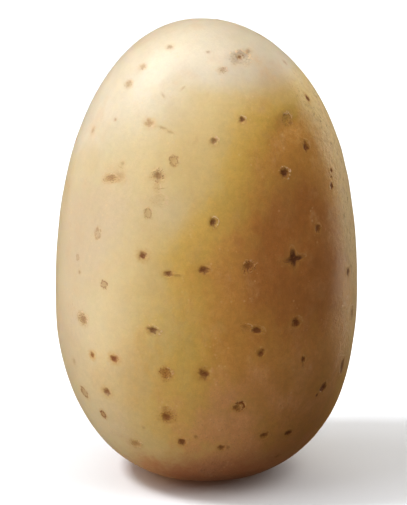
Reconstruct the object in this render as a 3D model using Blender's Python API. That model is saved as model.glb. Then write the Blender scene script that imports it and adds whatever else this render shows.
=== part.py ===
"""A whole potato that stands upright on a small flat spot.

The potato is one solid. A rounded cube is drawn out into an egg whose girth and outline are
superellipses, given a few broad swellings and hollows, and flattened where it rests.
Lengths are in metres and +Z is up. The origin is at floor level, under the middle of the potato.
"""

import math

import bmesh
import bpy
from mathutils import Vector

# Driving dimensions, in metres.
WIDTH = 0.066  # across the belly, along X
DEPTH = 0.058  # across the belly, along Y
CROWN_RISE = 0.0598  # from the belly's level up to the top end
FOOT_DROP = 0.0434  # from the belly's level down to where the round lower end would close
FLAT_CUT = 0.0014  # how much of the lower end the resting spot takes off
FLAT_EDGE = 0.0004  # height over which the resting spot's edge rounds into the side

# Fullness of the outlines: 2 is an ellipse, and a larger number is squarer.
GIRTH_FULLNESS = 2.15
CROWN_FULLNESS = 2.15
FOOT_FULLNESS = 2.36

# Broad swellings (+) and hollows (-): the azimuth and elevation of the middle in degrees, seen
# from the middle of the belly, the angular spread in degrees and the height in metres.
# Azimuth 0 is +X, 90 is +Y (the back) and 270 is -Y (the front).
LOBES = (
    (0, 76, 14, -0.0006),
    (0, 55, 17, 0.0004),
    (0, -48, 16, 0.0003),
    (180, 80, 14, 0.0004),
    (180, -50, 18, -0.0004),
    (305, 38, 16, -0.0007),
    (235, -12, 22, 0.0005),
    (48, 20, 28, 0.0007),
    (100, 46, 24, -0.0011),
    (135, -8, 26, 0.0010),
    (85, -30, 22, -0.0008),
    (200, 25, 24, -0.0004),
)

SEGMENTS = 24  # mesh segments along each edge of the cube that is rounded

SKIN_COLOUR = (0.60, 0.42, 0.19, 1.0)
SKIN_ROUGHNESS = 0.5


def clear_scene():
    """Remove whatever the scene holds."""
    for existing in list(bpy.data.objects):
        bpy.data.objects.remove(existing, do_unlink=True)


def make_collection(name):
    """Return a new collection, linked to the scene."""
    collection = bpy.data.collections.new(name)
    bpy.context.scene.collection.children.link(collection)
    return collection


def skin_material():
    """Return the pale, satin skin."""
    material = bpy.data.materials.new("skin")
    material.use_nodes = True
    shader = material.node_tree.nodes["Principled BSDF"]
    shader.inputs["Base Color"].default_value = SKIN_COLOUR
    shader.inputs["Roughness"].default_value = SKIN_ROUGHNESS
    shader.inputs["Metallic"].default_value = 0.0
    return material


def pointing(azimuth, elevation):
    """Return the unit direction at an azimuth and elevation in degrees."""
    turn = math.radians(azimuth)
    rise = math.radians(elevation)
    level = math.cos(rise)
    return Vector((level * math.cos(turn), level * math.sin(turn), math.sin(rise)))


def superellipse(across, upright, fullness):
    """Return the radius that belongs to a direction's parts, each divided by its half-axis."""
    return (abs(across) ** fullness + abs(upright) ** fullness) ** (-1 / fullness)


def plain_radius(direction):
    """Return the distance from the middle of the belly to the plain egg's surface."""
    level = math.hypot(direction.x, direction.y)
    if level > 0:
        girth = superellipse(
            direction.x / level / (WIDTH / 2),
            direction.y / level / (DEPTH / 2),
            GIRTH_FULLNESS,
        )
    else:
        girth = WIDTH / 2
    if direction.z > 0:
        return superellipse(level / girth, direction.z / CROWN_RISE, CROWN_FULLNESS)
    return superellipse(level / girth, direction.z / FOOT_DROP, FOOT_FULLNESS)


def swelling(direction):
    """Return how far the lobes push the surface out in a direction."""
    total = 0.0
    for azimuth, elevation, spread, height in LOBES:
        away = direction.angle(pointing(azimuth, elevation))
        total += height * math.exp(-((away / math.radians(spread)) ** 2))
    return total


def settled(height):
    """Return a point's height once the lower end is flattened at height 0, with a soft edge."""
    if height <= -FLAT_EDGE:
        return 0.0
    if height < FLAT_EDGE:
        return (height + FLAT_EDGE) ** 2 / (4 * FLAT_EDGE)
    return height


def surface_point(direction):
    """Return the potato's surface point in a direction from the middle of the belly."""
    point = direction * (plain_radius(direction) + swelling(direction))
    point.z = settled(point.z + FOOT_DROP - FLAT_CUT)
    return point


def rounded_cube_direction(corner):
    """Return the direction of a point of the 2-unit cube, spread evenly by angle."""
    spread = [math.tan(value * math.pi / 4) for value in corner]
    return Vector(spread).normalized()


def centre_footprint(model):
    """Move the potato so that its box is centred on the Z axis."""
    for axis in (0, 1):
        values = [vertex.co[axis] for vertex in model.verts]
        middle = (min(values) + max(values)) / 2
        for vertex in model.verts:
            vertex.co[axis] -= middle


def make_potato(collection, material):
    """Build the potato as one closed mesh and put it in the collection."""
    model = bmesh.new()
    bmesh.ops.create_cube(model, size=2)
    bmesh.ops.subdivide_edges(model, edges=model.edges[:], cuts=SEGMENTS - 1, use_grid_fill=True)
    for vertex in model.verts:
        vertex.co = surface_point(rounded_cube_direction(vertex.co))
    centre_footprint(model)
    mesh = bpy.data.meshes.new("potato")
    model.to_mesh(mesh)
    model.free()
    mesh.shade_smooth()
    mesh.materials.append(material)
    potato = bpy.data.objects.new("potato", mesh)
    collection.objects.link(potato)
    return potato


def main():
    clear_scene()
    collection = make_collection("potato")
    make_potato(collection, skin_material())


main()
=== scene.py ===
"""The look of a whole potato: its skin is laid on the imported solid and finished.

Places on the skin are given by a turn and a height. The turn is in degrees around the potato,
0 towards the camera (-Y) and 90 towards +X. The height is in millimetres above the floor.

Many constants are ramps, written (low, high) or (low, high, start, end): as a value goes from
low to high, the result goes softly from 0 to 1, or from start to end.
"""

import math
import random

import bmesh
import bpy
import numpy as np
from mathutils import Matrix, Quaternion, Vector, noise
from mathutils.bvhtree import BVHTree
from mathutils.kdtree import KDTree


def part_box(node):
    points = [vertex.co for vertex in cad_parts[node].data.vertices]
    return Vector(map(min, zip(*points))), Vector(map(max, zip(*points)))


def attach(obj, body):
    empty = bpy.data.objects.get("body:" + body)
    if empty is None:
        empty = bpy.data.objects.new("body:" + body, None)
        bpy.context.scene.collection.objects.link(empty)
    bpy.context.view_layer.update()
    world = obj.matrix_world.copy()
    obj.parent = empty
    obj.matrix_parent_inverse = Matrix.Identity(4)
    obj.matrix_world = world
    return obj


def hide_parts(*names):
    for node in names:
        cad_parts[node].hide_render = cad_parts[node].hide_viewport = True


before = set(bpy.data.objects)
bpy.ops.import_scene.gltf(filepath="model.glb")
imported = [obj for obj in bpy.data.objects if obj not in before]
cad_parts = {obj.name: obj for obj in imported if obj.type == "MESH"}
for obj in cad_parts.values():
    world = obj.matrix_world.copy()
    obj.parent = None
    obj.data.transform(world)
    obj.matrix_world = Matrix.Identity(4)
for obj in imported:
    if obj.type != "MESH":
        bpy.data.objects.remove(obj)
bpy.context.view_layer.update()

LOW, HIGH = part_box("potato")
SIZE = HIGH - LOW
BELLY_SHARE = 0.413  # how far up the belly is, as a share of the height
HEART = Vector((0.0, 0.0, LOW.z + BELLY_SHARE * SIZE.z))
MM = 0.001

# Mesh density, in segments along each edge of a rounded cube.
CAGE_SEGMENTS = 24
SKIN_SEGMENTS = 60
ROUNDING_LEVELS = 3  # subdivisions that round off the facets of the CAD solid

# How far from a mark's middle the mesh is made finer: mark radii plus millimetres, per level.
FINER_REACHES = ((1.5, 1.2), (1.25, 0.5))

# What a kind of mark looks like. Each row holds the radius as a share of the mark's stated
# width, then how strong its core, ring, specks, halo, pale rim and redness are, then the depth
# of its pit and the height of its lip in millimetres.
KINDS = {
    "dot": (0.82, 1.0, 0.0, 0.0, 0.9, 0.25, 0.45, 0.12, 0.012),
    "red_dot": (0.88, 1.0, 0.0, 0.0, 1.1, 0.3, 0.9, 0.10, 0.012),
    "soft": (0.90, 0.65, 0.0, 0.35, 1.0, 0.5, 0.4, 0.08, 0.012),
    "crater": (0.68, 1.0, 0.2, 0.2, 0.6, 1.2, 0.25, 0.20, 0.03),
    "star": (0.82, 1.0, 0.0, 0.3, 0.8, 0.15, 0.0, 0.14, 0.012),
    "ring": (0.56, 0.3, 0.75, 0.0, 0.5, 0.4, 0.6, 0.04, 0.02),
    "arc": (0.62, 0.35, 1.0, 0.4, 0.9, 0.3, 0.6, 0.10, 0.02),
    "cluster": (0.52, 0.3, 0.4, 0.85, 1.3, 0.6, 0.75, 0.08, 0.01),
    "fan": (0.78, 0.9, 0.0, 0.8, 1.2, 0.1, 0.65, 0.12, 0.01),
    "ragged": (0.80, 0.5, 0.0, 0.7, 0.75, 0.8, 0.35, 0.06, 0.02),
    "faint": (0.78, 0.45, 0.0, 0.2, 0.4, 0.3, 0.25, 0.04, 0.0),
    "knot": (0.66, 0.75, 0.2, 1.0, 0.5, 0.5, 0.5, 0.10, 0.015),
    "wisp": (0.90, 0.1, 0.0, 0.2, 0.25, 0.6, 0.5, 0.0, 0.01),
    "bud": (0.70, 0.1, 0.3, 0.75, 0.35, 1.8, 0.15, 0.06, 0.04),
}

# Places in a star are scaled by the first number along its points, which makes them longer, and
# by the sum of both numbers between them, which squeezes it in.
STAR_POINTS = 4
STAR_LENGTHENING = 0.75
STAR_SQUEEZE = 0.65

FULL_PIT_WIDTH = 1.6  # in millimetres; the pit of a narrower mark is shallower

# Marks seen from the camera: turn, height, kind, width, height of the mark in millimetres,
# tilt in degrees and darkness.
MARKS = (
    (32.5, 96.2, "bud", 3.2, 2.6, 0, 0.45),
    (32, 96.4, "dot", 0.7, 0.6, 0, 0.7),
    (44, 97, "faint", 1.2, 0.9, 20, 0.6),
    (-148, 101.2, "dot", 1.2, 1.0, 0, 0.5),
    (134, 101.1, "dot", 1.4, 1.0, 0, 0.6),
    (106, 97.9, "dot", 2.4, 1.4, 0, 0.5),
    (47, 84.0, "bud", 2.1, 1.8, 20, 0.45),
    (46, 84.9, "dot", 0.8, 0.5, 20, 0.4),
    (49, 83.2, "faint", 0.8, 0.9, 0, 0.6),
    (-46.5, 72, "ragged", 2.3, 1.1, 15, 0.85),
    (-41.5, 72.8, "soft", 1.5, 1.6, 30, 0.25),
    (-41.5, 75.3, "faint", 0.8, 0.8, 0, 0.5),
    (-17, 31.4, "cluster", 2.5, 2.7, 0, 1.0),
    (-17.8, 20.9, "fan", 2.0, 1.8, 0, 0.95),
    (-17.5, 22.8, "cluster", 2.2, 1.8, 0, 0.4),
    (38, 55.5, "star", 2.9, 2.4, 2, 1.0),
    (-16, 77, "ring", 2.1, 2.1, 0, 0.6),
    (-26, 66, "ring", 1.8, 2.1, 0, 0.55),
    (-49, 60, "ring", 1.7, 2.4, 0, 0.45),
    (-60, 53.5, "ring", 1.2, 1.3, 0, 0.4),
    (-58, 50.5, "faint", 0.7, 0.7, 0, 0.7),
    (38, 73.5, "crater", 1.95, 1.9, 0, 1.0),
    (-1, 31.5, "dot", 2.2, 2.0, 0, 0.95),
    (15, 23.6, "arc", 2.1, 1.9, 40, 1.0),
    (13.5, 23.2, "soft", 1.2, 1.0, 0, 0.8),
    (-23, 73.8, "knot", 2.0, 2.1, 30, 0.7),
    (-23, 71.2, "wisp", 1.0, 1.6, 10, 0.8),
    (-22, 68.8, "wisp", 2.2, 1.4, 0, 0.6),
    (3, 64.5, "crater", 1.5, 1.9, 0, 0.9),
    (-27, 57, "dot", 1.6, 1.4, 0, 0.95),
    (-1, 54.5, "dot", 1.8, 1.3, -10, 0.9),
    (18, 55, "knot", 2.2, 1.9, 20, 1.0),
    (-16, 53.5, "dot", 1.5, 1.1, 0, 0.8),
    (-12, 53.2, "faint", 1.4, 0.6, 0, 0.5),
    (-55, 40.6, "ragged", 2.0, 1.6, 0, 0.9),
    (-22, 41, "crater", 2.2, 1.4, -10, 0.8),
    (-50, 33, "red_dot", 1.1, 1.1, 0, 0.9),
    (-39, 33.5, "red_dot", 1.4, 1.3, 0, 1.0),
    (21, 41, "dot", 2.1, 1.2, -15, 0.95),
    (16.5, 41.8, "ragged", 1.6, 1.0, -15, 0.55),
    (23, 35.8, "dot", 1.5, 1.4, 30, 0.85),
    (38, 41.5, "dot", 1.7, 1.7, 0, 1.0),
    (42, 32.8, "dot", 0.8, 1.3, 5, 0.85),
    (42, 31.6, "faint", 0.5, 1.0, 5, 0.5),
    (55.3, 24.5, "dot", 1.6, 1.9, -20, 1.0),
    (52.3, 23.2, "dot", 0.6, 0.8, -30, 0.8),
    (68, 27.5, "dot", 1.6, 3.0, 0, 0.8),
    (-60, 22.8, "ring", 2.2, 2.6, 30, 0.85),
    (-45, 25, "dot", 1.6, 1.5, 0, 0.75),
    (-51, 18.7, "arc", 1.7, 1.4, 100, 0.9),
    (-37.5, 12.6, "ragged", 1.7, 1.6, 0, 0.75),
    (-12, 14.5, "dot", 1.5, 1.6, -15, 0.85),
    (-5, 16, "faint", 0.7, 0.9, 0, 0.7),
    (8, 13, "dot", 1.3, 1.3, 0, 0.75),
    (11.5, 13, "faint", 0.8, 1.0, 0, 0.7),
    (29, 15.5, "dot", 1.5, 1.5, 20, 0.8),
    (42, 15, "dot", 1.4, 1.3, 15, 1.0),
    (44, 8.5, "faint", 1.5, 1.0, 0, 0.6),
    (69, 48.8, "dot", 1.4, 1.6, 0, 0.9),
    (74, 39, "ragged", 1.6, 2.0, 0, 0.8),
    (51, 60.8, "dot", 1.2, 1.4, 0, 0.9),
    (66, 71.6, "dot", 0.8, 0.8, 0, 1.0),
    (63.5, 68.6, "dot", 1.0, 1.2, 0, 1.0),
    (53, 78, "dot", 1.4, 2.0, 0, 1.0),
    (69.5, 86.5, "dot", 0.9, 1.4, 0, 0.95),
    (75, 93.5, "faint", 1.0, 1.0, 0, 0.6),
    (-40, 98, "faint", 1.2, 1.0, 0, 0.8),
    (-52, 94, "ragged", 1.2, 0.9, 0, 0.55),
    (-55, 90.5, "ragged", 1.4, 1.1, 0, 0.6),
    (2, 97.5, "faint", 0.7, 0.6, 0, 0.6),
    (13, 94.3, "ragged", 1.2, 1.0, 0, 0.6),
    (20.5, 85.0, "crater", 1.3, 1.2, 0, 0.85),
    (4, 81, "crater", 1.5, 1.4, 0, 0.6),
    (-32, 83.9, "red_dot", 1.5, 1.3, 0, 0.4),
    (-24, 83.3, "faint", 1.6, 0.5, -10, 0.5),
    (-19.5, 82.6, "faint", 1.4, 0.5, -10, 0.45),
    (-67, 80, "faint", 1.0, 1.1, 0, 0.6),
    (-53, 83.5, "faint", 0.6, 0.6, 0, 0.7),
    (-44, 49.5, "ring", 1.7, 1.7, 0, 0.75),
    (-63, 29.5, "faint", 1.2, 1.4, 0, 0.5),
    (-30, 17.5, "faint", 0.8, 0.8, 0, 0.4),
    (-28, 89.5, "faint", 1.2, 0.5, -45, 0.4),
    (-16, 91, "faint", 1.0, 0.4, 50, 0.4),
)

# The seed that gives each mark a texture of its own, and the range of those textures' seeds.
MARK_SEED = 3
SEED_RANGE = 60

# Two marks are crowded, and go on separate layers, when their middles are closer than this many
# times the sum of their reaches.
CROWDED_REACHES = 2.0

# A place more than this many reaches from a spot is outside it, and gets this share instead.
FAR_REACHES = 6
OUTSIDE = 9.0
FARTHEST = 8.0  # the greatest share at which a mark still counts as the nearest one
MARK_FADE = (1.9, 2.3)  # a mark's look fades out between these shares

# Shallow hollows around the eyes, seen and unseen: turn, height, width in millimetres, depth
# in millimetres and tilt in degrees.
HOLLOWS = (
    (47, 83, 9.0, 0.45, 20),
    (34, 96, 6.0, 0.25, 10),
    (-45, 72, 5.0, 0.22, -20),
    (-22, 73, 4.5, 0.12, 10),
    (102, 71, 8.0, 0.60, 10),
    (150, 88, 7.5, 0.60, -8),
    (178, 62, 9.0, 0.70, 6),
    (-138, 79, 8.0, 0.60, -12),
    (-101, 55, 8.0, 0.50, 8),
    (128, 38, 8.5, 0.60, -10),
    (-160, 30, 8.0, 0.50, 5),
)
HOLLOW_ASPECT = 0.8  # height over width

# The shape of a hollow, in shares of its half size: a bowl with a brow above it.
BOWL_TALL = 0.8
BROW_WIDE = 1.1
BROW_TALL = 0.4
BROW_AT = 0.85
BROW_LIFT = 0.35  # as a share of the bowl's depth

# The shape of a mark, in shares of its radius: a pit with a lip around it.
PIT_WIDE = 0.55
LIP_AT = 1.0
LIP_WIDE = 0.3

# Low waves all over the skin: height and length in millimetres, and seed.
RIPPLES = ((0.10, 11, 1.0), (0.06, 5, 2.0), (0.02, 2.2, 3.0))

# Small marks scattered over the side the camera does not see, in degrees and millimetres.
HIDDEN_SEED = 11
HIDDEN_COUNT = 62
HIDDEN_TRIES = 4000
HIDDEN_FROM, HIDDEN_TO = 88, 276
HIDDEN_HEIGHTS = (6, 91)
HIDDEN_GAP = 5.5
HIDDEN_WIDTHS = (0.8, 2.1)
HIDDEN_ASPECTS = (0.7, 1.3)
HIDDEN_TILTS = (-40, 40)
HIDDEN_DARKNESSES = (0.5, 1)
HIDDEN_KINDS = (
    "dot", "dot", "dot", "red_dot", "ring",
    "faint", "faint", "arc", "ragged", "cluster",
)
HIDDEN_BUD_SIZE = (2.4, 2.0)
HIDDEN_BUD_DARKNESS = 0.75

# A rough outline of the potato, to tell how far apart two places are.
ROUGH_RADIUS = 30
ROUGH_HEIGHT = 102
END_SHARE = 0.08

# The skin grows warmer and darker in steps from the left to the right of the front. This is
# partly the skin's own colour and partly painted light: the pale left stands for a painted sheen
# and the brown right for painted shade. Each step lies right of an edge, given as heights and
# turns. It is as soft as the widths in millimetres that are given for some heights.
STRAW_EDGE = ((0, -42), (50, -42), (75, -30), (90, -20))
STRAW_SOFT = ((0, 16), (99, 16))
GOLD_EDGE = (
    (4, -20), (20, -20), (31, -18), (45, -16), (57, -18),
    (66, -6), (72, 3), (88, 15), (99, 40),
)
GOLD_SOFT = ((0, 21), (45, 18), (57, 8), (99, 8))
BROWN_EDGE = ((4, 4), (20, 4), (40, 2), (54, -2), (66, 12), (76, 28), (89, 52), (99, 80))
BROWN_SOFT = ((0, 12), (42, 13), (54, 15), (99, 14))

# How strong each of them is behind, and from what turn.
BEHIND_TURNS = (75, 125)
STRAW_BEHIND = 0.8
GOLD_BEHIND = 0.35
BROWN_BEHIND = 0.10

# The heights or turns between which each colour comes or goes, and how much of it goes there
# where it isn't all.
GOLD_TOP = (94, 82)
GOLD_FOOT = (-2, 18)
BROWN_TOP = (92, 79)
BROWN_FOOT = (16, 45)
BROWN_FOOT_LOSS = 0.3
BROWN_RIGHT = (56, 76)  # turns
BROWN_RIGHT_LOSS = 0.45
# The pale crown is kept off the right of the front: partly the skin's own colour, partly a
# painted sheen.
CROWN_TOP = (86, 96)
CROWN_SIDES = (70, 98)
CROWN_FRONT = (-40, 10)  # turns
CROWN_FRONT_LOSS = 0.75
EARTH_FOOT = (12, 2)
EARTH_AT_FOOT = 0.7

# The foot is darker, most of all around one turn: partly soil that clings there, partly painted
# shade where the potato meets the floor.
FOOT_HEIGHTS = (18, 0)
FOOT_TURN = 4
FOOT_SIDES = (20, 50)
FOOT_SIDES_LOSS = 0.5

# Soft round patches: turn, height, spread in millimetres and amount.
PALE_PATCHES = (
    (-17, 67, 7, 0.4),
    (-50, 16, 10, 0.35),
    (-74, 80, 10, 0.5),
    (14, 82, 6, 0.12),
    (-9, 38, 7, 0.15),
    (170, 50, 12, 0.4),
    (-100, 70, 12, 0.4),
)
GOLD_PATCHES = (
    (-40, 70, 9, 0.2),
    (-46, 30, 12, 0.3),
    (-58, 26, 10, 0.2),
    (150, 40, 18, 0.4),
    (-150, 62, 15, 0.35),
    (-120, 28, 14, 0.3),
)
# The brown patch at turn 44, height 81 is painted shade in the hollow around an eye.
BROWN_PATCHES = (
    (48, 50, 12, 0.4),
    (26, 36, 9, 0.35),
    (44, 81, 6, 0.3),
    (165, 74, 14, 0.5),
    (-105, 40, 12, 0.3),
    (118, 22, 12, 0.4),
)
# Russet; the patches on the front right, turns 24 to 54, are partly painted shade on the side
# turned from the light.
RUSSET_AND_SHADE_PATCHES = (
    (42, 59, 12, 0.8),
    (24, 60, 7, 0.2),
    (54, 53, 11, 0.8),
    (54, 38, 9, 0.3),
    (30, 38, 8, 0.3),
    (26, 48, 9, 0.35),
    (45, 71, 8, 0.3),
    (150, 66, 10, 0.5),
    (-120, 46, 9, 0.4),
)
PINK_PATCHES = (
    (-60, 60, 12, 0.9),
    (-36, 69, 8, 0.35),
    (-68, 34, 14, 0.7),
    (-42, 18, 9, 0.35),
    (32, 94, 8, 0.4),
    (-140, 20, 14, 0.6),
    (170, 25, 12, 0.6),
)
# Scurf; the column of patches along the right edge, turns 75 to 88, is partly a painted highlight
# of the rim light.
SCURF_AND_RIM_SHEEN_PATCHES = (
    (75, 84, 9, 0.9),
    (84, 68, 11, 0.95),
    (86, 50, 11, 0.95),
    (88, 32, 11, 0.8),
    (104, 66, 13, 0.6),
    (100, 88, 6, 0.5),
    (118, 76, 6, 0.5),
    (108, 44, 7, 0.6),
    (122, 57, 5, 0.5),
    (76, 56, 7, 0.4),
    (96, 18, 6, 0.5),
    (0, 5, 7, 0.35),
    (-170, 48, 12, 0.7),
    (-128, 58, 8, 0.5),
)
EARTH_PATCHES = (
    (2, 15, 12, 0.5),
    (12, 26, 10, 0.35),
    (52, 27, 16, 0.45),
    (60, 12, 9, 0.4),
    (48, 91, 8, 0.35),
    (-30, 7, 9, 0.2),
    (-31, 31, 8, 0.35),
    (25, 8, 9, 0.3),
    (160, 12, 10, 0.5),
)

# Colours of the skin and its marks. Over the front, cream and crown cream are partly a painted
# sheen, and brown is partly painted shade.
CREAM = (0.60, 0.525, 0.35, 1.0)
STRAW = (0.64, 0.51, 0.245, 1.0)
GOLD = (0.62, 0.445, 0.125, 1.0)
BROWN = (0.55, 0.315, 0.09, 1.0)
CROWN_CREAM = (0.63, 0.575, 0.455, 1.0)
PINK = (0.58, 0.485, 0.335, 1.0)
RUSSET_AND_SHADE = (0.44, 0.215, 0.065, 1.0)
EARTH = (0.61, 0.36, 0.18, 1.0)
FOOT_SHADE_AND_SOIL_TINT = (0.66, 0.505, 0.48, 1.0)
GREENISH = (0.60, 0.49, 0.17, 1.0)
ROSY = (0.62, 0.42, 0.22, 1.0)
BROWNER = (0.55, 0.38, 0.17, 1.0)
SCURF_AND_RIM_SHEEN = (0.66, 0.555, 0.325, 1.0)
SCURF_DARK = (0.36, 0.24, 0.12, 1.0)
# the colour of the painted shade on the underside
UNDERSIDE_SHADE_TINT = (0.50, 0.46, 0.44, 1.0)
PIN_PALE = (0.74, 0.58, 0.34, 1.0)
HALO_BROWN = (0.47, 0.28, 0.085, 1.0)
HALO_ORANGE = (0.56, 0.33, 0.09, 1.0)
RIM_PALE_AND_HIGHLIGHT = (0.75, 0.58, 0.39, 1.0)
MARK_DARK = (0.155, 0.06, 0.018, 1.0)
MARK_RED = (0.29, 0.11, 0.02, 1.0)

# Textures: scale per millimetre, detail and roughness, or the scale alone for cells. Those with
# a stretch have their heights scaled by it.
BROAD = (0.075, 3.0, 0.55)
CLOUDS = (0.18, 5.0, 0.62)
OTHER_CLOUDS = (0.14, 4.0, 0.6)
OTHER_CLOUDS_SHIFT = (91.0, 40.0, 7.0)
MOTTLE = (0.75, 3.0, 0.65)
GRAIN = (3.2, 2.0, 0.6)
FLAKES = (1.3, 3.0, 0.7)
LUMPS = (0.6, 2.0, 0.6)
CLOUD_STRETCH = 0.6
FLAKE_STRETCH = 0.55
SOIL_CELLS = 1.2
PIN_CELLS = 0.62

# How much the clouds, and the clouds and the mottle, roughen a field before its ramp.
STRAW_CLOUDS = 0.25
CROWN_CLOUDS = 0.15
CRISP_ROUGH = (1.5, 0.06)
SCURF_ROUGH = (1.6, 0.6)
FOOT_ROUGH = (0.8, 0.5)
SOILED_ROUGH = (0.8, 0.6)
# how far the mottle shifts the painted underside shade
UNDERSIDE_SHADE_MOTTLE = 2.0  # in millimetres

# Stains: how much the clouds roughen each, and the share that is crisp.
GOLD_STAIN = (0.5, 0.2)
BROWN_STAIN = (0.6, 0.25)
RUSSET_AND_SHADE_STAIN = (1.2, 0.3)
PINK_STAIN = (0.6, 0.3)
EARTH_STAIN = (0.6, 0.3)
SOFT_STAIN = (0.05, 0.95)  # the ramp of the soft share
CRISP_STAIN = (0.34, 0.70)  # the ramp of the crisp share

# Ramps of the broad colours and their lightness.
CROWN_RAMP = (0.1, 0.9)
GREENISH_RAMP = (0.52, 0.72, 0.0, 0.06)
ROSY_RAMP = (0.28, 0.46, 0.18, 0.0)
BROWNER_RAMP = (0.5, 0.75, 0.0, 0.2)
CLOUDS_LIGHTNESS = (0.3, 0.7, 0.95, 1.05)
MOTTLE_LIGHTNESS = (0.3, 0.7, 0.95, 1.05)
GRAIN_LIGHTNESS = (0.3, 0.7, 0.965, 1.035)
COARSE_LEAST = 0.4  # how much of that lightness shows outside the gold
COARSE_IN_GOLD = 0.6  # and how much more shows in it

# Ramps of the scurf (partly a painted rim highlight), the foot's painted shade and soil, the soil
# and the pale pinpoints.
SCURF_RAMP = (0.05, 1.15)
SCURF_COVER = 0.72
DARK_LUMPS = (0.34, 0.5, 0.25, 0.0)
DARK_FLAKES = (0.34, 0.43, 0.8, 0.0)
PALE_FLAKES = (0.54, 0.66, 0.0, 0.4)
FOOT_RAMP = (0.1, 0.95)
# Painted shade under the potato, near the floor and stronger towards +X, the shaded side.
UNDERSIDE_SHADE_RAMP = (1.5, 7.0, 1.0, 0.0)  # over the height
UNDERSIDE_SHADE_EAST_RAMP = (-14, 6, 0.2, 1.0)  # over the place along X, in millimetres
SOILED_RAMP = (0.2, 0.8, 0.0, 0.4)
SOIL_SPECKS = (0.1, 0.24, 1.0, 0.0)
PINS = (0.10, 0.2, 1.0, 0.0)
PIN_CLOUDS = (0.45, 0.6, 0.0, 0.28)

# The look of a mark. Most of its ramps are over the distance from its middle, in radii, made
# ragged by the wobble.
WOBBLE = (1.6, 2.0, 0.55)
WOBBLE_SIZE = 1.2
TEARS = (2.6, 2.0, 0.5)
SPECKLE = (4.2, 1.5, 0.5)
CORE_RAMP = (0.25, 0.95, 1.0, 0.0)
CORE_SPECKLE = (0.32, 0.46, 0.7, 1.0)  # over the speckle
RING_AT = 0.74
RING_RAMP = (0.02, 0.42, 1.0, 0.0)
RING_TEARS = (0.36, 0.5, 0.15, 1.0)  # over the tears
SPECKS_RAMP = (0.7, 1.5, 1.0, 0.0)
SPECKS_SPECKLE = (0.52, 0.66)  # over the speckle
HALO_RAMP = (0.3, 1.9, 1.0, 0.0)
HALO_COVER = 0.75

# A mark's pale rim, which is torn and lies mostly on the upper right: partly flaky skin, partly a
# painted highlight where the raised lip catches the light.
RIM_AT = 1.05
RIM_RAMP = (0.05, 0.3, 1.0, 0.0)
RIM_ACROSS = 0.35
RIM_UPRIGHT = 0.25
RIM_TEARS = 3.0
RIM_TORN = (-1.4, -0.9)
RIM_COVER = 0.85

# Gloss and bumps. The bumps' heights are in a unit given in millimetres.
ROUGHNESS_RAMP = (0.3, 0.7, 0.40, 0.50)
SCURF_ROUGHER = 0.16
MARK_ROUGHER = 0.2
BUMP_UNIT = 0.03
GRAIN_HEIGHT = 0.35
MOTTLE_HEIGHT = 1.5
FLAKES_HEIGHT = 3.0
LUMPS_HEIGHT = 4.5
MARK_DEPTH = 1.6

# The light that soaks into the skin: its share, and how far it spreads in millimetres.
SUBSURFACE_WEIGHT = 0.2
SUBSURFACE_RADIUS = (1.0, 0.45, 0.15)  # for red, green and blue, as shares of the scale
SUBSURFACE_SCALE = 1.5

# Camera.
CAMERA_ELEVATION = 17  # in degrees
CAMERA_DISTANCE = 0.750
CAMERA_AIM = Vector((-0.0006, 0.0, 0.0497))
CAMERA_LENS = 245.0
CAMERA_SENSOR = 36.0

# Studio.
LIGHT_DISTANCE = 1.2
WHITE = (1.0, 1.0, 1.0)
SHEEN_COLOUR = (0.80, 0.92, 1.0)
RIM_COLOUR = (1.0, 0.97, 0.85)
CEILING_COLOUR = (0.90, 0.96, 1.0)
WINDOW_COLOUR = (0.94, 0.985, 1.05)

# Lights: name, turn and elevation in degrees, width and height in metres, roll in degrees,
# watts and a colour if not white. The softboxes and the sheen light the potato alone.
SOFTBOXES = (
    ("key", -66, 12, 1.50, 0.70, 0, 0.9),
    ("key_front", -46, 12, 0.80, 0.70, 0, 3.6),
    ("bounce", -62, -20, 0.80, 0.60, 0, 5.75),
    ("bounce_left", -90, -24, 0.80, 0.60, 0, 3.5),
    ("bounce_right", 62, -20, 0.80, 0.50, 0, 0.35),
    ("overhead", -91, 76, 1.40, 0.20, 60, 11.2),
    ("rim", 130, 0, 0.50, 1.00, -30, 6.5, RIM_COLOUR),
    ("rim_left", -125, 4, 0.50, 1.00, 0, 1.7),
    ("over_right", 55, 64, 0.60, 0.60, 0, 2.4),
    ("over_back", 180, 65, 0.80, 0.60, 0, 2.0),
    ("front", 0, 12, 0.60, 0.60, 0, 1.45),
    ("front_high", -6, 48, 0.60, 0.60, 0, 4.1),
)
SHEEN = ("sheen", -78, 48, 0.60, 0.60, 0, 8.5, SHEEN_COLOUR)  # seen in the gloss alone
FLOOR_LIGHTS = (
    ("ceiling", 150, 68, 2.0, 2.0, 0, 12.5, CEILING_COLOUR),
    ("right_wall", 80, 40, 1.2, 1.2, 0, 12.0, CEILING_COLOUR),
    ("window", -84, 54, 0.24, 0.24, 0, 10.2, WINDOW_COLOUR),
    ("wide_window", -80, 42, 1.2, 0.8, 0, 8.6, WINDOW_COLOUR),
)
FLOOR_COLOUR = (0.80, 0.80, 0.80, 1.0)
FLOOR_ROUGHNESS = 0.9
FLOOR_RADIUS = 0.65
FLOOR_SEGMENTS = 64
GLOW_COLOUR = (1.0, 0.58, 0.32, 1.0)
GLOW_STRENGTH = 0.14
VIEW_GAMMA = 0.77


def smoothstep(low, high, value):
    """Return 0 below low and 1 above high, with a soft rise between; works on arrays too."""
    share = np.clip((value - low) / (high - low), 0.0, 1.0)
    return share * share * (3 - 2 * share)


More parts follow.
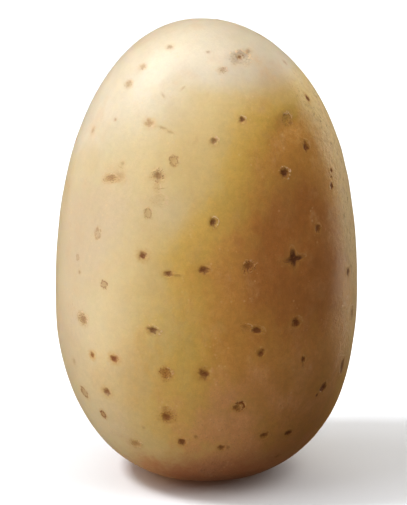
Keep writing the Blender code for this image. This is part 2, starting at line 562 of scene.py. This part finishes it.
def rounded_cube(segments):
    """Return a bmesh of the unit sphere, made of six square patches spread evenly by angle."""
    ball = bmesh.new()
    bmesh.ops.create_cube(ball, size=2)
    bmesh.ops.subdivide_edges(ball, edges=ball.edges[:], cuts=segments - 1, use_grid_fill=True)
    for vertex in ball.verts:
        spread = [math.tan(value * math.pi / 4) for value in vertex.co]
        vertex.co = Vector(spread).normalized()
    return ball


def lay_on(vertices, tree):
    """Move each vertex out from the heart, or in to it, until it lies on the tree's surface."""
    for vertex in vertices:
        direction = (vertex.co - HEART).normalized()
        vertex.co = tree.ray_cast(HEART, direction)[0]


def ball_on(tree, segments):
    """Return a bmesh of a rounded cube whose vertices lie on the tree's surface."""
    ball = rounded_cube(segments)
    for vertex in ball.verts:
        vertex.co += HEART
    lay_on(ball.verts, tree)
    return ball


def add_object(name, data):
    """Return a new object for the data, linked to the scene."""
    thing = bpy.data.objects.new(name, data)
    bpy.context.scene.collection.objects.link(thing)
    return thing


def smooth_shape():
    """Return a search tree of the CAD solid's surface with its facets rounded off."""
    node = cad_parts["potato"]
    facets = BVHTree.FromObject(node, bpy.context.evaluated_depsgraph_get())
    cage = ball_on(facets, CAGE_SEGMENTS)
    mesh = bpy.data.meshes.new("cage")
    cage.to_mesh(mesh)
    cage.free()
    holder = add_object("cage", mesh)
    holder.modifiers.new("rounding", "SUBSURF").levels = ROUNDING_LEVELS
    bpy.context.view_layer.update()
    tree = BVHTree.FromObject(holder, bpy.context.evaluated_depsgraph_get())
    bpy.data.objects.remove(holder)
    return tree


def outward(turn):
    """Return the level unit vector that points away from the axis at a turn in degrees."""
    angle = math.radians(turn)
    return Vector((math.sin(angle), -math.cos(angle), 0.0))


class Spot:
    """A place on the skin with its own east and up axes, tilted, and a size."""

    def __init__(self, tree, turn, height, width, tall, tilt):
        level = Vector((0.0, 0.0, height * MM))
        hit, normal, _, _ = tree.ray_cast(level, outward(turn))
        angle = math.radians(turn)
        east = Vector((math.cos(angle), math.sin(angle), 0.0))
        up = normal.cross(east).normalized()
        east = up.cross(normal).normalized()
        lean = math.radians(tilt)
        self.centre = hit
        self.east = east * math.cos(lean) + up * math.sin(lean)
        self.up = up * math.cos(lean) - east * math.sin(lean)
        self.half_width = width / 2 * MM
        self.half_height = tall / 2 * MM

    def reach(self):
        """Return the larger half size, in metres."""
        return max(self.half_width, self.half_height)

    def local(self, points):
        """Return arrays of points' places across and up, as shares of the half sizes."""
        away = points - np.array(self.centre)
        across = away @ np.array(self.east) / self.half_width
        upright = away @ np.array(self.up) / self.half_height
        far = np.linalg.norm(away, axis=1) > FAR_REACHES * self.reach()
        return np.where(far, OUTSIDE, across), np.where(far, OUTSIDE, upright)


class Mark(Spot):
    """A spot with the look of one of the kinds of mark."""

    def __init__(self, tree, row, seed):
        turn, height, kind, width, tall, tilt, darkness = row
        share, core, ring, specks, halo, rim, red, pit, lip = KINDS[kind]
        super().__init__(tree, turn, height, 2 * share * width, 2 * share * tall, tilt)
        self.shape = np.array((core, ring, specks)) * darkness
        self.tint = np.array((halo * darkness, rim * darkness, red))
        self.pit = pit * MM * min(1.0, width / FULL_PIT_WIDTH)
        self.lip = lip * MM
        self.seed = seed
        self.points = STAR_POINTS if kind == "star" else 0

    def local(self, points):
        """Return places within the mark; a star's are squeezed in between its points."""
        across, upright = super().local(points)
        if self.points:
            between = np.sin(np.arctan2(upright, across) * self.points / 2) ** 2
            squeeze = STAR_LENGTHENING + STAR_SQUEEZE * between
            across = across * squeeze
            upright = upright * squeeze
        return across, upright


def rough_radius(height):
    """Return about how far the skin is from the axis at a height, both in millimetres."""
    share = min(max(height / ROUGH_HEIGHT, END_SHARE), 1 - END_SHARE)
    return ROUGH_RADIUS * math.sin(math.pi * share) ** 0.5


def is_clear(turn, height, rows):
    """Say whether a place on the far side keeps the gap from all the rows' marks."""
    radius = rough_radius(height)
    for row in rows:
        apart = math.hypot(math.radians(turn - row[0] % 360) * radius, height - row[1])
        if apart <= HIDDEN_GAP:
            return False
    return True


def hidden_rows():
    """Return rows like those of MARKS for the side the camera does not see."""
    dice = random.Random(HIDDEN_SEED)
    rows = []
    for turn, height, _, _, tilt in HOLLOWS:
        if HIDDEN_FROM < turn % 360 < HIDDEN_TO:
            rows.append((turn, height, "bud", *HIDDEN_BUD_SIZE, tilt, HIDDEN_BUD_DARKNESS))
    for _ in range(HIDDEN_TRIES):
        if len(rows) == HIDDEN_COUNT:
            break
        turn = dice.uniform(HIDDEN_FROM, HIDDEN_TO)
        height = dice.uniform(*HIDDEN_HEIGHTS)
        if is_clear(turn, height, rows):
            width = dice.uniform(*HIDDEN_WIDTHS)
            kind = dice.choice(HIDDEN_KINDS)
            tall = width * dice.uniform(*HIDDEN_ASPECTS)
            tilt = dice.uniform(*HIDDEN_TILTS)
            darkness = dice.uniform(*HIDDEN_DARKNESSES)
            rows.append((turn, height, kind, width, tall, tilt, darkness))
    return rows


def make_marks(tree):
    """Return two layers of marks; marks that nearly touch never share a layer."""
    dice = random.Random(MARK_SEED)
    layers = ([], [])
    for row in (*MARKS, *hidden_rows()):
        mark = Mark(tree, row, dice.uniform(0, SEED_RANGE))
        crowded = False
        for other in layers[0]:
            room = CROWDED_REACHES * (mark.reach() + other.reach())
            crowded = crowded or (mark.centre - other.centre).length < room
        layers[1 if crowded else 0].append(mark)
    return layers


def refine(skin, marks, tree):
    """Make the mesh finer around each mark."""
    for radii, extra in FINER_REACHES:
        skin.verts.ensure_lookup_table()
        finder = KDTree(len(skin.verts))
        for index, vertex in enumerate(skin.verts):
            finder.insert(vertex.co, index)
        finder.balance()
        near = set()
        for mark in marks:
            reach = mark.reach() * radii + extra * MM
            for _, index, _ in finder.find_range(mark.centre, reach):
                near.add(index)
        edges = []
        for edge in skin.edges:
            if edge.verts[0].index in near or edge.verts[1].index in near:
                edges.append(edge)
        bmesh.ops.subdivide_edges(skin, edges=edges, cuts=1, use_grid_fill=True)
        skin.verts.index_update()
        lay_on(skin.verts, tree)


def ripple(points, size, seed):
    """Return a gentle noise, about -0.5 to 0.5, whose waves are about size millimetres long."""
    shift = Vector((seed, -seed, 2 * seed))
    scale = 1 / (size * MM)
    return np.array([noise.noise(Vector(point) * scale + shift) for point in points])


def bell(*values):
    """Return 1 where all the values are 0, and soon nothing where any is above 1 or under -1."""
    return np.exp(-sum(value**2 for value in values))


def relief(points, layers, hollows):
    """Return how far each point of the skin moves out, in metres."""
    rise = np.zeros(len(points))
    for lift, size, seed in RIPPLES:
        rise += lift * MM * ripple(points, size, seed)
    for spot, depth in hollows:
        across, upright = spot.local(points)
        bowl = bell(across, upright / BOWL_TALL)
        brow = bell(across / BROW_WIDE, (upright - BROW_AT) / BROW_TALL)
        rise += depth * (BROW_LIFT * brow - bowl)
    for mark in (*layers[0], *layers[1]):
        away = np.hypot(*mark.local(points))
        rise -= mark.pit * bell(away / PIT_WIDE)
        rise += mark.lip * bell((away - LIP_AT) / LIP_WIDE)
    return rise


def store(mesh, name, values):
    """Keep three numbers per vertex under a name that the material reads."""
    layer = mesh.attributes.new(name, "FLOAT_VECTOR", "POINT")
    layer.data.foreach_set("vector", np.asarray(values, dtype=np.float32).ravel())


def store_marks(mesh, points, marks, name):
    """Keep each vertex's place within the nearest mark, and how that mark looks."""
    count = len(points)
    place = np.full((count, 3), OUTSIDE)
    shape = np.zeros((count, 3))
    tint = np.zeros((count, 3))
    nearest = np.full(count, FARTHEST)
    for mark in marks:
        across, upright = mark.local(points)
        away = np.hypot(across, upright)
        mine = away < nearest
        nearest[mine] = away[mine]
        fade = 1 - smoothstep(*MARK_FADE, away[mine])
        place[mine] = np.stack((across[mine], upright[mine], np.full(mine.sum(), mark.seed)), 1)
        shape[mine] = mark.shape * fade[:, None]
        tint[mine] = mark.tint * fade[:, None]
    store(mesh, name + "_place", place)
    store(mesh, name + "_shape", shape)
    store(mesh, name + "_tint", tint)


def patches(points, tree, rows):
    """Return the sum of soft round patches: turn, height, spread in millimetres, amount."""
    total = np.zeros(len(points))
    for turn, height, spread, amount in rows:
        centre = np.array(Spot(tree, turn, height, 1, 1, 0).centre)
        away = np.linalg.norm(points - centre, axis=1) / (spread * MM)
        total += amount * bell(away)
    return total


def past_edge(turn, height, girth, edge, soft):
    """Return 0 left of an edge on the front of the potato and 1 right of it."""
    past = np.radians(turn - np.interp(height, *zip(*edge))) * girth
    return smoothstep(-1, 1, past / np.interp(height, *zip(*soft)))


def store_fields(mesh, points, tree):
    """Keep how straw-coloured, golden, brown and so on each part of the skin is; over the front
    the pale steps are partly a painted sheen and the brown ones partly painted shade.
    """
    turn = np.degrees(np.arctan2(points[:, 0], -points[:, 1]))
    height = points[:, 2] / MM
    girth = np.hypot(points[:, 0], points[:, 1]) / MM
    behind = smoothstep(*BEHIND_TURNS, np.abs(turn))
    straw = past_edge(turn, height, girth, STRAW_EDGE, STRAW_SOFT)
    straw += (STRAW_BEHIND - straw) * behind

    gold = past_edge(turn, height, girth, GOLD_EDGE, GOLD_SOFT)
    gold += (GOLD_BEHIND - gold) * behind + patches(points, tree, GOLD_PATCHES)
    gold *= smoothstep(*GOLD_TOP, height) * smoothstep(*GOLD_FOOT, height)

    brown = past_edge(turn, height, girth, BROWN_EDGE, BROWN_SOFT)
    brown *= 1 - BROWN_RIGHT_LOSS * smoothstep(*BROWN_RIGHT, turn)
    brown *= 1 - BROWN_FOOT_LOSS * (1 - smoothstep(*BROWN_FOOT, height))
    brown += (BROWN_BEHIND - brown) * behind + patches(points, tree, BROWN_PATCHES)
    brown *= smoothstep(*BROWN_TOP, height)

    front = smoothstep(*CROWN_FRONT, turn) * (1 - behind)
    crown = smoothstep(*CROWN_SIDES, height) * (1 - CROWN_FRONT_LOSS * front)
    crown = np.maximum(crown, smoothstep(*CROWN_TOP, height))
    crown += patches(points, tree, PALE_PATCHES)

    pink = patches(points, tree, PINK_PATCHES)
    earth = EARTH_AT_FOOT * smoothstep(*EARTH_FOOT, height)
    earth += patches(points, tree, EARTH_PATCHES)
    scurf = patches(points, tree, SCURF_AND_RIM_SHEEN_PATCHES)
    # painted contact shade on the foot, partly soil
    foot = 1 - FOOT_SIDES_LOSS * smoothstep(*FOOT_SIDES, np.abs(turn - FOOT_TURN))
    foot *= smoothstep(*FOOT_HEIGHTS, height)
    russet_and_shade = patches(points, tree, RUSSET_AND_SHADE_PATCHES)
    store(mesh, "field_one", np.stack((straw, gold, brown), 1))
    store(mesh, "field_two", np.stack((crown, pink, earth), 1))
    store(mesh, "field_three", np.stack((scurf, foot, russet_and_shade), 1))


def make_skin():
    """Build the potato's skin and return it."""
    tree = smooth_shape()
    layers = make_marks(tree)
    hollows = []
    for turn, height, width, depth, tilt in HOLLOWS:
        spot = Spot(tree, turn, height, width, HOLLOW_ASPECT * width, tilt)
        hollows.append((spot, depth * MM))
    skin = ball_on(tree, SKIN_SEGMENTS)
    refine(skin, (*layers[0], *layers[1]), tree)
    skin.normal_update()
    points = np.array([vertex.co for vertex in skin.verts])
    rise = relief(points, layers, hollows)
    for vertex, lift in zip(skin.verts, rise):
        vertex.co = vertex.co + vertex.normal * float(lift)
        vertex.co.z = max(vertex.co.z, LOW.z)
    mesh = bpy.data.meshes.new("potato_skin")
    skin.to_mesh(mesh)
    skin.free()
    mesh.shade_smooth()
    store_marks(mesh, points, layers[0], "near")
    store_marks(mesh, points, layers[1], "next")
    store_fields(mesh, points, tree)
    return add_object("potato_skin", mesh)


class Wiring:
    """Short ways to add nodes to a material's tree."""

    def __init__(self, tree):
        self.tree = tree

    def feed(self, socket, value):
        """Link a socket's value, or set a constant one."""
        if isinstance(value, bpy.types.NodeSocket):
            self.tree.links.new(value, socket)
        else:
            socket.default_value = value

    def maths(self, operation, first, second=0.0):
        """Return a sum, product or other operation on one or two numbers."""
        node = self.tree.nodes.new("ShaderNodeMath")
        node.operation = operation
        self.feed(node.inputs[0], first)
        self.feed(node.inputs[1], second)
        return node.outputs[0]

    def add(self, first, second):
        return self.maths("ADD", first, second)

    def times(self, first, second):
        return self.maths("MULTIPLY", first, second)

    def rise(self, value, low, high, start=0.0, end=1.0):
        """Go softly from start to end as the value goes from low to high."""
        node = self.tree.nodes.new("ShaderNodeMapRange")
        node.interpolation_type = "SMOOTHSTEP"
        self.feed(node.inputs["Value"], value)
        node.inputs["From Min"].default_value = low
        node.inputs["From Max"].default_value = high
        node.inputs["To Min"].default_value = start
        node.inputs["To Max"].default_value = end
        return node.outputs["Result"]

    def vector_maths(self, operation, first, second):
        """Return a sum, product or other operation on two vectors."""
        node = self.tree.nodes.new("ShaderNodeVectorMath")
        node.operation = operation
        self.feed(node.inputs[0], first)
        self.feed(node.inputs[1], second)
        return node.outputs["Vector"]

    def grey(self, level):
        """Return a grey of a level."""
        node = self.tree.nodes.new("ShaderNodeCombineXYZ")
        for socket in node.inputs:
            self.feed(socket, level)
        return node.outputs[0]

    def split(self, vector):
        """Return a vector's three numbers."""
        node = self.tree.nodes.new("ShaderNodeSeparateXYZ")
        self.feed(node.inputs[0], vector)
        return node.outputs

    def attribute(self, name):
        """Return what store() kept under a name."""
        node = self.tree.nodes.new("ShaderNodeAttribute")
        node.attribute_name = name
        return node.outputs["Vector"]

    def noise(self, where, scale, detail, roughness):
        """Return a cloudy noise, mostly 0.3 to 0.7."""
        node = self.tree.nodes.new("ShaderNodeTexNoise")
        self.feed(node.inputs["Vector"], where)
        node.inputs["Scale"].default_value = scale
        node.inputs["Detail"].default_value = detail
        node.inputs["Roughness"].default_value = roughness
        return node.outputs["Fac"]

    def cells(self, where, scale):
        """Return the distance to the middle of the nearest of many scattered cells."""
        node = self.tree.nodes.new("ShaderNodeTexVoronoi")
        self.feed(node.inputs["Vector"], where)
        node.inputs["Scale"].default_value = scale
        return node.outputs["Distance"]

    def mix(self, share, first, second, blend="MIX"):
        """Return the first colour with a share of the second mixed in."""
        node = self.tree.nodes.new("ShaderNodeMix")
        node.data_type = "RGBA"
        node.blend_type = blend
        self.feed(node.inputs["Factor"], share)
        self.feed(node.inputs["A"], first)
        self.feed(node.inputs["B"], second)
        return node.outputs["Result"]

    def near(self, value, middle, ramp):
        """Return a ramp over the distance of a value from a middle."""
        return self.rise(self.maths("ABSOLUTE", self.add(value, -middle)), *ramp)


def mark_masks(wiring, name):
    """Return the masks of a layer of marks: dark, pale, halo and redness."""
    place = wiring.attribute(name + "_place")
    core, ring, specks = wiring.split(wiring.attribute(name + "_shape"))
    halo, rim, red = wiring.split(wiring.attribute(name + "_tint"))
    across, upright, _ = wiring.split(place)
    squares = wiring.add(wiring.times(across, across), wiring.times(upright, upright))
    wobble = wiring.add(wiring.times(wiring.noise(place, *WOBBLE), WOBBLE_SIZE), -WOBBLE_SIZE / 2)
    ragged = wiring.add(wiring.maths("SQRT", squares), wobble)
    tears = wiring.noise(place, *TEARS)
    speckle = wiring.noise(place, *SPECKLE)

    core = wiring.times(core, wiring.rise(ragged, *CORE_RAMP))
    core = wiring.times(core, wiring.rise(speckle, *CORE_SPECKLE))
    ring = wiring.times(ring, wiring.near(ragged, RING_AT, RING_RAMP))
    ring = wiring.times(ring, wiring.rise(tears, *RING_TEARS))
    specks = wiring.times(specks, wiring.rise(ragged, *SPECKS_RAMP))
    specks = wiring.times(specks, wiring.rise(speckle, *SPECKS_SPECKLE))
    dark = wiring.maths("MAXIMUM", core, wiring.maths("MAXIMUM", ring, specks))

    halo = wiring.times(halo, wiring.rise(ragged, *HALO_RAMP))
    # The pale rim is partly a painted highlight, kept to the upper right of each mark.
    lit_side = wiring.add(wiring.times(across, RIM_ACROSS), wiring.times(upright, RIM_UPRIGHT))
    torn = wiring.rise(wiring.add(lit_side, wiring.times(tears, -RIM_TEARS)), *RIM_TORN)
    rim = wiring.times(rim, wiring.near(ragged, RIM_AT, RIM_RAMP))
    return dark, wiring.times(rim, torn), halo, red


class SkinPaint(Wiring):
    """The fields and textures of the skin, and the layers of colour painted with them."""

    def __init__(self, tree):
        super().__init__(tree)
        place = tree.nodes.new("ShaderNodeTexCoord").outputs["Object"]
        self.where = self.vector_maths("MULTIPLY", place, (1 / MM, 1 / MM, 1 / MM))
        self.straw, self.gold, self.brown = self.split(self.attribute("field_one"))
        self.crown, self.pink, self.earth = self.split(self.attribute("field_two"))
        scurf, self.foot, self.russet_and_shade = self.split(self.attribute("field_three"))
        self.clouds = self.noise(self.stretched(CLOUD_STRETCH), *CLOUDS)
        self.mottle = self.noise(self.where, *MOTTLE)
        self.grain = self.noise(self.where, *GRAIN)
        self.flakes = self.noise(self.stretched(FLAKE_STRETCH), *FLAKES)
        self.lumps = self.noise(self.where, *LUMPS)
        self.scurf = self.rise(self.roughened(scurf, *SCURF_ROUGH), *SCURF_RAMP)

    def stretched(self, share):
        """Return places whose heights are scaled, so that a texture is drawn out upwards."""
        return self.vector_maths("MULTIPLY", self.where, (1.0, 1.0, share))

    def roughened(self, field, clouds_share, mottle_share):
        """Return a field moved up and down by the clouds and the mottle."""
        shifted = self.add(field, self.times(self.add(self.clouds, -0.5), clouds_share))
        return self.add(shifted, self.times(self.add(self.mottle, -0.5), mottle_share))

    def stained(self, field, clouds_share, crisp_share):
        """Return a soft stain whose middle also has a ragged, crisper edge."""
        soft = self.roughened(field, clouds_share, 0.0)
        crisp = self.roughened(field, *CRISP_ROUGH)
        return self.add(
            self.rise(soft, *SOFT_STAIN, 0.0, 1 - crisp_share),
            self.rise(crisp, *CRISP_STAIN, 0.0, crisp_share),
        )

    def ground(self):
        """Return the skin's broad colours with their clouds, mottle and grain."""
        broad = self.noise(self.where, *BROAD)
        elsewhere = self.vector_maths("ADD", self.where, OTHER_CLOUDS_SHIFT)
        other_clouds = self.noise(elsewhere, *OTHER_CLOUDS)
        crown = self.rise(self.roughened(self.crown, CROWN_CLOUDS, 0.0), *CROWN_RAMP)
        base = self.mix(self.roughened(self.straw, STRAW_CLOUDS, 0.0), CREAM, STRAW)
        for share, colour in (
            (self.stained(self.gold, *GOLD_STAIN), GOLD),
            (self.stained(self.brown, *BROWN_STAIN), BROWN),
            (self.stained(self.russet_and_shade, *RUSSET_AND_SHADE_STAIN), RUSSET_AND_SHADE),
            (crown, CROWN_CREAM),
            (self.stained(self.pink, *PINK_STAIN), PINK),
            (self.stained(self.earth, *EARTH_STAIN), EARTH),
            (self.rise(other_clouds, *GREENISH_RAMP), GREENISH),
            (self.rise(other_clouds, *ROSY_RAMP), ROSY),
            (self.rise(broad, *BROWNER_RAMP), BROWNER),
        ):
            base = self.mix(share, base, colour)
        coarse = self.add(COARSE_LEAST, self.times(self.gold, COARSE_IN_GOLD))
        for texture, ramp in (
            (self.clouds, CLOUDS_LIGHTNESS),
            (self.mottle, MOTTLE_LIGHTNESS),
            (self.grain, GRAIN_LIGHTNESS),
        ):
            base = self.mix(coarse, base, self.grey(self.rise(texture, *ramp)), "MULTIPLY")
        return base

    def with_scurf(self, base):
        """Return the colours with the dusty, cracked scurf over them; along the right edge its
        pale cover is partly a painted rim highlight.
        """
        base = self.mix(self.times(self.scurf, SCURF_COVER), base, SCURF_AND_RIM_SHEEN)
        dark_lumps = self.rise(self.lumps, *DARK_LUMPS)
        dark = self.maths("MAXIMUM", dark_lumps, self.rise(self.flakes, *DARK_FLAKES))
        base = self.mix(self.times(self.scurf, dark), base, SCURF_DARK)
        pale = self.times(self.scurf, self.rise(self.flakes, *PALE_FLAKES))
        return self.mix(pale, base, PIN_PALE)

    def with_foot_shade_and_soil(self, base):
        """Return the colours with painted shade on the foot, partly soil, and on the underside,
        and specks of soil.
        """
        # Painted shade on the foot where it meets the floor, partly soil.
        foot = self.rise(self.roughened(self.foot, *FOOT_ROUGH), *FOOT_RAMP)
        base = self.mix(foot, base, FOOT_SHADE_AND_SOIL_TINT, "MULTIPLY")
        # Painted shade on the underside, near the floor and strongest towards +X.
        east, _, above = self.split(self.where)
        above = self.add(above, self.times(self.mottle, UNDERSIDE_SHADE_MOTTLE))
        under = self.times(self.rise(above, *UNDERSIDE_SHADE_RAMP), self.rise(east, *UNDERSIDE_SHADE_EAST_RAMP))
        base = self.mix(under, base, UNDERSIDE_SHADE_TINT, "MULTIPLY")
        soiled = self.rise(self.roughened(self.earth, *SOILED_ROUGH), *SOILED_RAMP)
        specks = self.rise(self.cells(self.where, SOIL_CELLS), *SOIL_SPECKS)
        return self.mix(self.times(specks, soiled), base, SCURF_DARK)

    def with_pins(self, base):
        """Return the colours with scattered pale pinpoints."""
        pins = self.rise(self.cells(self.where, PIN_CELLS), *PINS)
        pins = self.times(pins, self.rise(self.clouds, *PIN_CLOUDS))
        return self.mix(pins, base, PIN_PALE)

    def fine_height(self):
        """Return the height of the grain, the mottle and the scurf's crust, in bump units."""
        height = self.times(self.add(self.grain, -0.5), GRAIN_HEIGHT)
        height = self.add(height, self.times(self.add(self.mottle, -0.5), MOTTLE_HEIGHT))
        flakes = self.times(self.flakes, FLAKES_HEIGHT)
        crust = self.add(flakes, self.times(self.lumps, LUMPS_HEIGHT))
        return self.add(height, self.times(self.scurf, crust))


def skin_material():
    """Return the skin: one shader whose colour, gloss and fine bumps follow the stored fields."""
    material = bpy.data.materials.new("skin")
    material.use_nodes = True
    tree = material.node_tree
    shader = tree.nodes["Principled BSDF"]
    paint = SkinPaint(tree)
    base = paint.with_pins(paint.with_foot_shade_and_soil(paint.with_scurf(paint.ground())))
    rough = paint.rise(paint.mottle, *ROUGHNESS_RAMP)
    rough = paint.add(rough, paint.times(paint.scurf, SCURF_ROUGHER))
    height = paint.fine_height()
    for name in ("near", "next"):
        dark, pale, halo, red = mark_masks(paint, name)
        halo_colour = paint.mix(red, HALO_BROWN, HALO_ORANGE)
        base = paint.mix(paint.times(halo, HALO_COVER), base, halo_colour)
        base = paint.mix(paint.times(pale, RIM_COVER), base, RIM_PALE_AND_HIGHLIGHT)
        base = paint.mix(dark, base, paint.mix(red, MARK_DARK, MARK_RED))
        rough = paint.add(rough, paint.times(dark, MARK_ROUGHER))
        height = paint.add(height, paint.times(dark, -MARK_DEPTH))
        height = paint.add(height, pale)

    bump = tree.nodes.new("ShaderNodeBump")
    bump.inputs["Strength"].default_value = 1.0
    bump.inputs["Distance"].default_value = BUMP_UNIT * MM
    paint.feed(bump.inputs["Height"], height)
    paint.feed(shader.inputs["Base Color"], base)
    paint.feed(shader.inputs["Roughness"], rough)
    paint.feed(shader.inputs["Normal"], bump.outputs["Normal"])
    shader.inputs["Subsurface Weight"].default_value = SUBSURFACE_WEIGHT
    shader.inputs["Subsurface Radius"].default_value = SUBSURFACE_RADIUS
    shader.inputs["Subsurface Scale"].default_value = SUBSURFACE_SCALE * MM
    return material


def aim(thing, target):
    """Turn a camera or a light towards a point."""
    thing.rotation_mode = "QUATERNION"
    thing.rotation_quaternion = (target - thing.location).to_track_quat("-Z", "Y")


def towards(turn, elevation):
    """Return the unit vector out from the potato at a turn and an elevation in degrees."""
    angle = math.radians(turn)
    rise = math.radians(elevation)
    level = math.cos(rise)
    return Vector((level * math.sin(angle), -level * math.cos(angle), math.sin(rise)))


def make_camera():
    """Add the camera of the photo."""
    data = bpy.data.cameras.new("camera")
    data.lens = CAMERA_LENS
    data.sensor_width = CAMERA_SENSOR
    camera = add_object("camera", data)
    camera.location = CAMERA_AIM + towards(0, CAMERA_ELEVATION) * CAMERA_DISTANCE
    aim(camera, CAMERA_AIM)
    bpy.context.scene.camera = camera


def softbox(name, turn, elevation, width, height, roll, watts, colour=WHITE):
    """Return a new rectangular light that faces the potato."""
    data = bpy.data.lights.new(name, "AREA")
    data.shape = "RECTANGLE"
    data.size = width
    data.size_y = height
    data.energy = watts
    data.color = colour
    light = add_object(name, data)
    light.location = CAMERA_AIM + towards(turn, elevation) * LIGHT_DISTANCE
    aim(light, CAMERA_AIM)
    rolled = Quaternion((0, 0, 1), math.radians(roll))
    light.rotation_quaternion = light.rotation_quaternion @ rolled
    return light


def make_floor():
    """Add the pale floor. It shows the shadow and neither lights the potato nor shows in it."""
    mesh = bpy.data.meshes.new("floor")
    disc = bmesh.new()
    bmesh.ops.create_circle(disc, cap_ends=True, segments=FLOOR_SEGMENTS, radius=FLOOR_RADIUS)
    disc.to_mesh(mesh)
    disc.free()
    material = bpy.data.materials.new("floor")
    material.use_nodes = True
    shader = material.node_tree.nodes["Principled BSDF"]
    shader.inputs["Base Color"].default_value = FLOOR_COLOUR
    shader.inputs["Roughness"].default_value = FLOOR_ROUGHNESS
    shader.inputs["Specular IOR Level"].default_value = 0.0
    mesh.materials.append(material)
    floor = add_object("floor", mesh)
    floor.visible_diffuse = False
    floor.visible_glossy = False
    floor.visible_shadow = False
    return floor


def make_world():
    """Make a world that is plain white to look at and lights the scene with a weak warm glow."""
    world = bpy.data.worlds.new("studio")
    bpy.context.scene.world = world
    world.use_nodes = True
    tree = world.node_tree
    tree.nodes.clear()
    seen = tree.nodes.new("ShaderNodeBackground")
    seen.inputs["Color"].default_value = (*WHITE, 1.0)
    glow = tree.nodes.new("ShaderNodeBackground")
    glow.inputs["Color"].default_value = GLOW_COLOUR
    glow.inputs["Strength"].default_value = GLOW_STRENGTH
    ray = tree.nodes.new("ShaderNodeLightPath")
    choice = tree.nodes.new("ShaderNodeMixShader")
    output = tree.nodes.new("ShaderNodeOutputWorld")
    tree.links.new(ray.outputs["Is Camera Ray"], choice.inputs["Fac"])
    tree.links.new(glow.outputs["Background"], choice.inputs[1])
    tree.links.new(seen.outputs["Background"], choice.inputs[2])
    tree.links.new(choice.outputs["Shader"], output.inputs["Surface"])


def light_only(thing, lights):
    """Let the lights shine on one thing alone."""
    lit = bpy.data.collections.new("lit_" + thing.name)
    lit.objects.link(thing)
    for light in lights:
        light.light_linking.receiver_collection = lit


make_camera()
make_world()
floor = make_floor()
potato = make_skin()
potato.data.materials.append(skin_material())
sheen = softbox(*SHEEN)
sheen.visible_diffuse = False
light_only(potato, [sheen, *(softbox(*row) for row in SOFTBOXES)])
light_only(floor, [softbox(*row) for row in FLOOR_LIGHTS])
view = bpy.context.scene.view_settings
view.view_transform = "Standard"
view.gamma = VIEW_GAMMA
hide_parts("potato")
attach(potato, "root")
